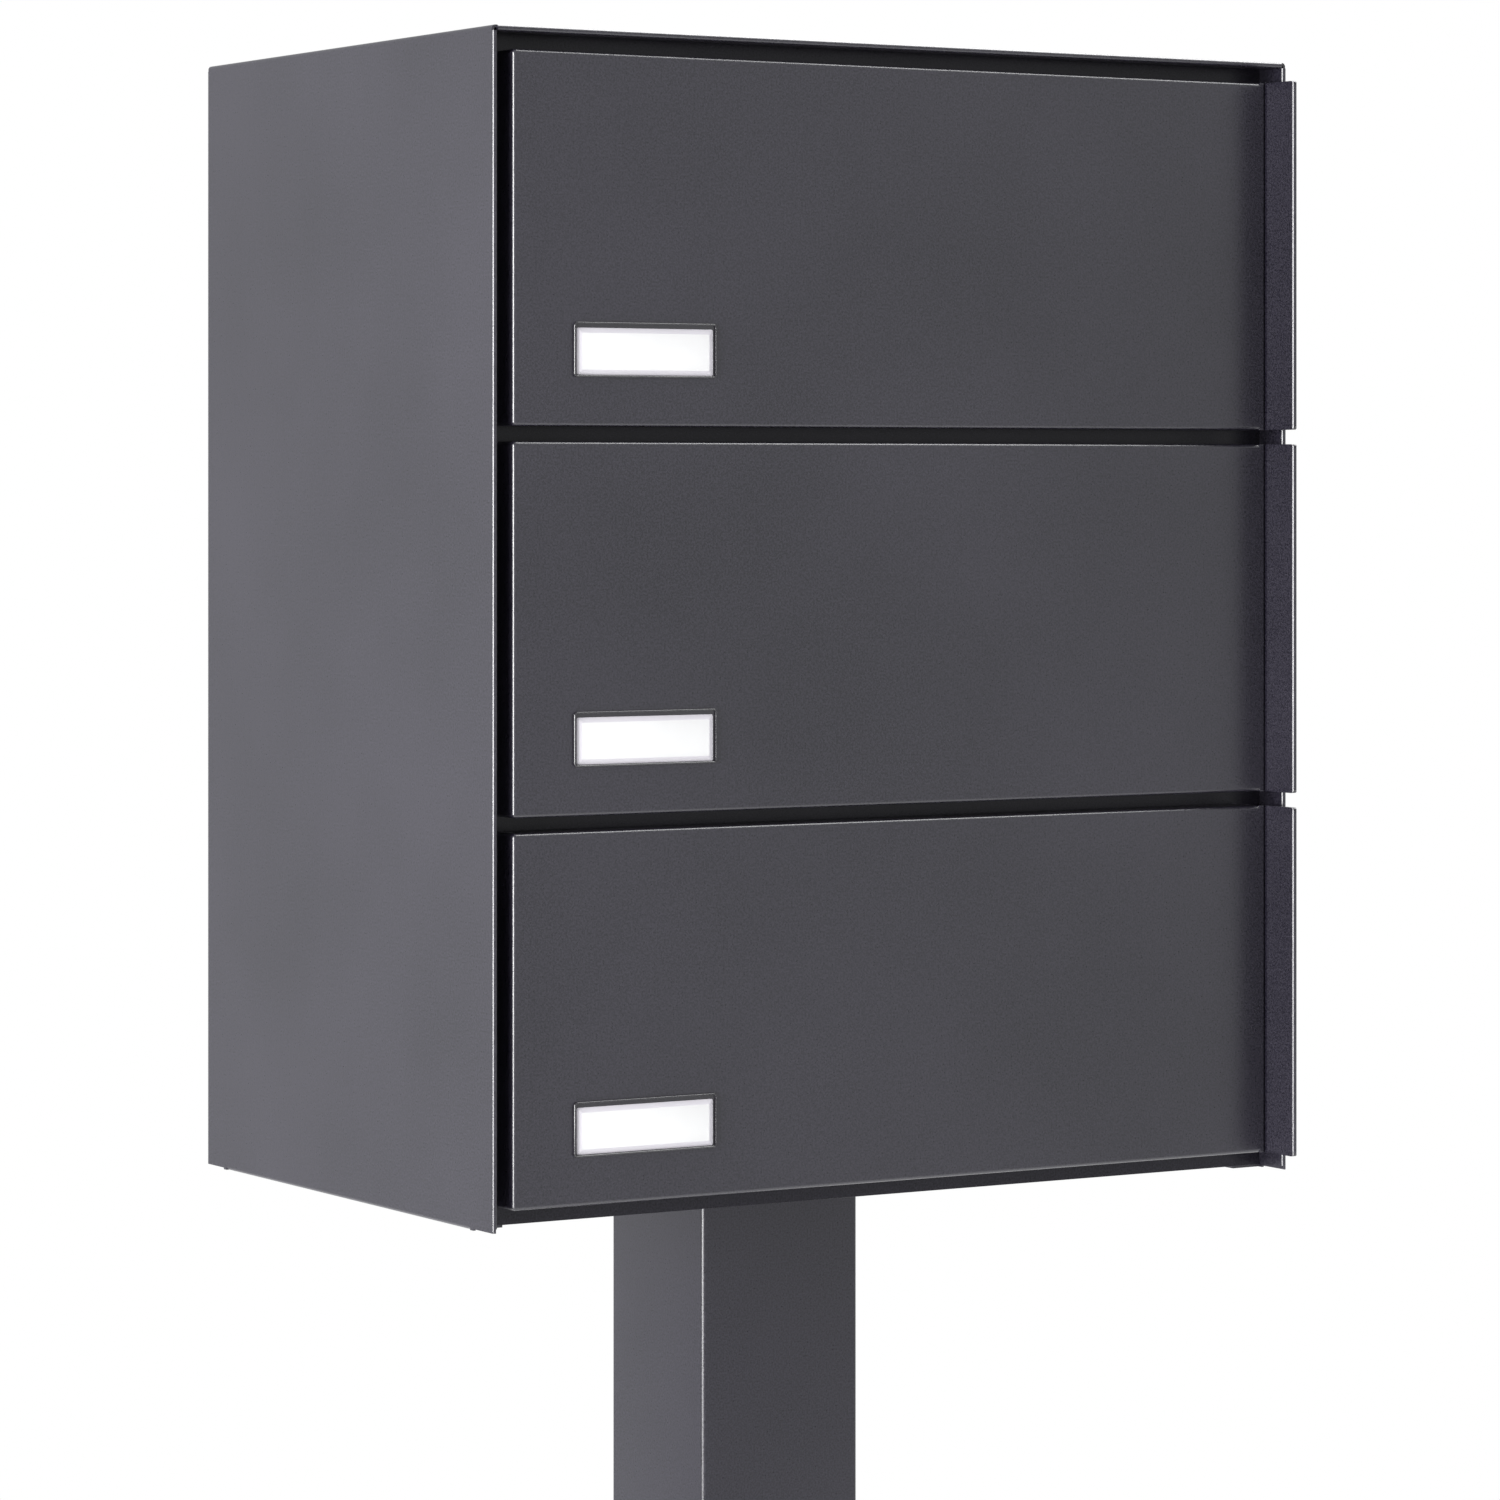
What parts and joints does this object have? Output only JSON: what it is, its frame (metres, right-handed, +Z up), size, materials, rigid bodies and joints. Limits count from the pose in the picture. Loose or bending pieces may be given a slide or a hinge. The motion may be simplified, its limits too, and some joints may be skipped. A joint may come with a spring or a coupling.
{
  "type": "cluster mailbox unit",
  "caption": "Anthracite sheet-steel mailbox cluster on a square post, with side-grip covers over the mail slots and locking removal doors behind.",
  "frame": {"origin": "on the floor under the centre of the post, on the underside of the base plate", "axes": "+Z up, -Y towards the front with the covers, +X to the right seen from the front"},
  "size_m": [0.4, 0.2873, 1.6011],
  "materials": {
    "casing_coat": "matt anthracite powder coat, very fine texture",
    "post_coat": "matt anthracite powder coat, very fine texture",
    "cover_coat": "matt anthracite powder coat, very fine texture",
    "door_coat": "matt anthracite powder coat, very fine texture",
    "flap_coat": "matt anthracite powder coat",
    "frame_coat": "matt anthracite powder coat",
    "zinc_steel": "bright zinc plate",
    "lock_nickel": "satin nickel plate",
    "magnet_case": "matt moulded plastic",
    "bush_nylon": "moulded nylon",
    "buffer_rubber": "matt rubber",
    "bezel_plastic": "satin moulded plastic",
    "clear_window": "clear polished acrylic",
    "card": "plain white card"
  },
  "bodies": {
    "housing": {"casing_shell": "casing_coat", "base_pan": "casing_coat", "front_frame": "frame_coat", "rear_frame": "frame_coat", "shelf_lower": "casing_coat", "shelf_upper": "casing_coat", "post_tube": "post_coat", "post_head_plate": "casing_coat", "post_base_plate": "casing_coat", "head_screws": "zinc_steel", "pan_rivets": "zinc_steel", "hinge_rivets": "zinc_steel", "cover_hinge_lugs": "zinc_steel", "cover_hinge_pins": "zinc_steel", "door_hinge_lugs": "zinc_steel", "door_hinge_pins": "zinc_steel", "cover_magnets": "magnet_case", "cover_buffers": "buffer_rubber", "flap_rods": "zinc_steel", "flap_brackets": "zinc_steel"},
    "cover_lower": {"front_cover_lower": "cover_coat", "nameplate_bezel_lower": "bezel_plastic", "card_window_lower": "clear_window", "name_card_lower": "card", "cover_bushes_lower": "bush_nylon"},
    "cover_middle": {"front_cover_middle": "cover_coat", "nameplate_bezel_middle": "bezel_plastic", "card_window_middle": "clear_window", "name_card_middle": "card", "cover_bushes_middle": "bush_nylon"},
    "cover_upper": {"front_cover_upper": "cover_coat", "nameplate_bezel_upper": "bezel_plastic", "card_window_upper": "clear_window", "name_card_upper": "card", "cover_bushes_upper": "bush_nylon"},
    "flap_lower": {"slot_flap_lower": "flap_coat"},
    "flap_middle": {"slot_flap_middle": "flap_coat"},
    "flap_upper": {"slot_flap_upper": "flap_coat"},
    "door_lower": {"rear_door_lower": "door_coat", "door_bushes_lower": "bush_nylon", "lock_barrel_lower": "lock_nickel", "lock_nut_lower": "lock_nickel"},
    "door_middle": {"rear_door_middle": "door_coat", "door_bushes_middle": "bush_nylon", "lock_barrel_middle": "lock_nickel", "lock_nut_middle": "lock_nickel"},
    "door_upper": {"rear_door_upper": "door_coat", "door_bushes_upper": "bush_nylon", "lock_barrel_upper": "lock_nickel", "lock_nut_upper": "lock_nickel"},
    "lock_lower": {"lock_plug_lower": "lock_nickel", "lock_cam_lower": "zinc_steel", "cam_screw_lower": "zinc_steel"},
    "lock_middle": {"lock_plug_middle": "lock_nickel", "lock_cam_middle": "zinc_steel", "cam_screw_middle": "zinc_steel"},
    "lock_upper": {"lock_plug_upper": "lock_nickel", "lock_cam_upper": "zinc_steel", "cam_screw_upper": "zinc_steel"}
  },
  "joints": [
    {"name": "cover_hinge_lower", "type": "hinge", "parent": "housing", "child": "cover_lower", "pos_m": [-0.185, -0.13175, 1.19567], "axis": [0, 0, -1], "range_deg": [0, 95]},
    {"name": "cover_hinge_middle", "type": "hinge", "parent": "housing", "child": "cover_middle", "pos_m": [-0.185, -0.13175, 1.35535], "axis": [0, 0, -1], "range_deg": [0, 95]},
    {"name": "cover_hinge_upper", "type": "hinge", "parent": "housing", "child": "cover_upper", "pos_m": [-0.185, -0.13175, 1.51503], "axis": [0, 0, -1], "range_deg": [0, 95]},
    {"name": "slot_flap_pivot_lower", "type": "hinge", "parent": "housing", "child": "flap_lower", "pos_m": [0, -0.11957, 1.25933], "axis": [1, 0, 0], "range_deg": [0, 75]},
    {"name": "slot_flap_pivot_middle", "type": "hinge", "parent": "housing", "child": "flap_middle", "pos_m": [0, -0.11957, 1.41902], "axis": [1, 0, 0], "range_deg": [0, 75]},
    {"name": "slot_flap_pivot_upper", "type": "hinge", "parent": "housing", "child": "flap_upper", "pos_m": [0, -0.11957, 1.5787], "axis": [1, 0, 0], "range_deg": [0, 75]},
    {"name": "door_hinge_lower", "type": "hinge", "parent": "housing", "child": "door_lower", "pos_m": [0.185, 0.11325, 1.19567], "axis": [0, 0, -1], "range_deg": [0, 95]},
    {"name": "door_hinge_middle", "type": "hinge", "parent": "housing", "child": "door_middle", "pos_m": [0.185, 0.11325, 1.35535], "axis": [0, 0, -1], "range_deg": [0, 95]},
    {"name": "door_hinge_upper", "type": "hinge", "parent": "housing", "child": "door_upper", "pos_m": [0.185, 0.11325, 1.51503], "axis": [0, 0, -1], "range_deg": [0, 95]},
    {"name": "lock_turn_lower", "type": "hinge", "parent": "door_lower", "child": "lock_lower", "pos_m": [-0.158, 0.11425, 1.19567], "axis": [0, 1, 0], "range_deg": [0, 90]},
    {"name": "lock_turn_middle", "type": "hinge", "parent": "door_middle", "child": "lock_middle", "pos_m": [-0.158, 0.11425, 1.35535], "axis": [0, 1, 0], "range_deg": [0, 90]},
    {"name": "lock_turn_upper", "type": "hinge", "parent": "door_upper", "child": "lock_upper", "pos_m": [-0.158, 0.11425, 1.51503], "axis": [0, 1, 0], "range_deg": [0, 90]}
  ]
}
